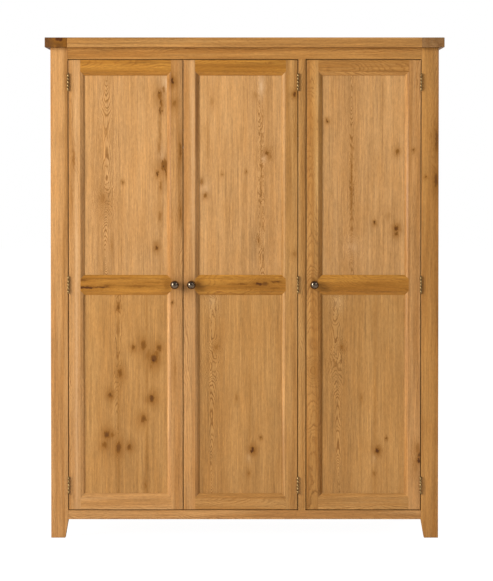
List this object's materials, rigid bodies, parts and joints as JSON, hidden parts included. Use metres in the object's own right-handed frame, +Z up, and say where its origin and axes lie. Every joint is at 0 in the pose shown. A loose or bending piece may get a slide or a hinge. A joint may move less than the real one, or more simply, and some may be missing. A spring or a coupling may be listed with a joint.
{
  "type": "wardrobe with doors",
  "caption": "Rustic oak wardrobe with inset frame-and-panel hinged doors, shelves and hanging rails, on tapered post feet.",
  "frame": {"origin": "on the floor, under the middle of the whole box (knob tips to the back of the top board)", "axes": "+X to the right seen from the front, +Y to the back, +Z up"},
  "size_m": [1.5, 0.616, 1.885],
  "materials": {
    "oak_frame": "satin lacquer",
    "oak_panel": "satin lacquer",
    "oak_end": "satin lacquer, darker figured ends",
    "oak_inside": "thin matt lacquer",
    "brass": "aged",
    "pewter": "polished antique pewter",
    "steel": "zinc plated",
    "chrome": "polished",
    "catch_plastic": "moulded"
  },
  "bodies": {
    "carcass": {"back_boards": "oak_inside", "bottom_rail": "oak_frame", "breadboard_end_left": "oak_end", "breadboard_end_right": "oak_end", "floor_panel": "oak_inside", "frame_hinge_leaves": "brass", "frame_screws": "steel", "frieze_rail": "oak_frame", "front_post_left": "oak_frame", "front_post_right": "oak_frame", "hanging_rails": "chrome", "head_battens": "oak_inside", "hinge_pins": "brass", "magnetic_catches": "catch_plastic", "mullion": "oak_frame", "partition": "oak_inside", "rail_sockets": "chrome", "rear_post_left": "oak_frame", "rear_post_right": "oak_frame", "rear_rails": "oak_frame", "shelf_cleats": "oak_inside", "shelf_left": "oak_inside", "shelf_right": "oak_inside", "side_panel_left": "oak_panel", "side_panel_right": "oak_panel", "side_rails": "oak_frame", "top_board": "oak_frame"},
    "left_door": {"left_door_bottom_rail": "oak_frame", "left_door_catch_plate": "steel", "left_door_closing_stile": "oak_frame", "left_door_hinge_leaves": "brass", "left_door_hinge_stile": "oak_frame", "left_door_knob": "pewter", "left_door_lower_panel": "oak_panel", "left_door_middle_rail": "oak_frame", "left_door_screws": "steel", "left_door_top_rail": "oak_frame", "left_door_upper_panel": "oak_panel"},
    "middle_door": {"middle_door_bottom_rail": "oak_frame", "middle_door_catch_plate": "steel", "middle_door_closing_stile": "oak_frame", "middle_door_hinge_leaves": "brass", "middle_door_hinge_stile": "oak_frame", "middle_door_knob": "pewter", "middle_door_lower_panel": "oak_panel", "middle_door_middle_rail": "oak_frame", "middle_door_screws": "steel", "middle_door_top_rail": "oak_frame", "middle_door_upper_panel": "oak_panel"},
    "right_door": {"right_door_bottom_rail": "oak_frame", "right_door_catch_plate": "steel", "right_door_closing_stile": "oak_frame", "right_door_hinge_leaves": "brass", "right_door_hinge_stile": "oak_frame", "right_door_knob": "pewter", "right_door_lower_panel": "oak_panel", "right_door_middle_rail": "oak_frame", "right_door_screws": "steel", "right_door_top_rail": "oak_frame", "right_door_upper_panel": "oak_panel"}
  },
  "joints": [
    {"name": "left_door_hinge", "type": "hinge", "parent": "carcass", "child": "left_door", "pos_m": [-0.6635, -0.2757, 0.956], "axis": [0, 0, -1], "range_deg": [0, 180]},
    {"name": "middle_door_hinge", "type": "hinge", "parent": "carcass", "child": "middle_door", "pos_m": [0.2005, -0.2757, 0.956], "axis": [0, 0, 1], "range_deg": [0, 140]},
    {"name": "right_door_hinge", "type": "hinge", "parent": "carcass", "child": "right_door", "pos_m": [0.6635, -0.2757, 0.956], "axis": [0, 0, 1], "range_deg": [0, 180]}
  ]
}
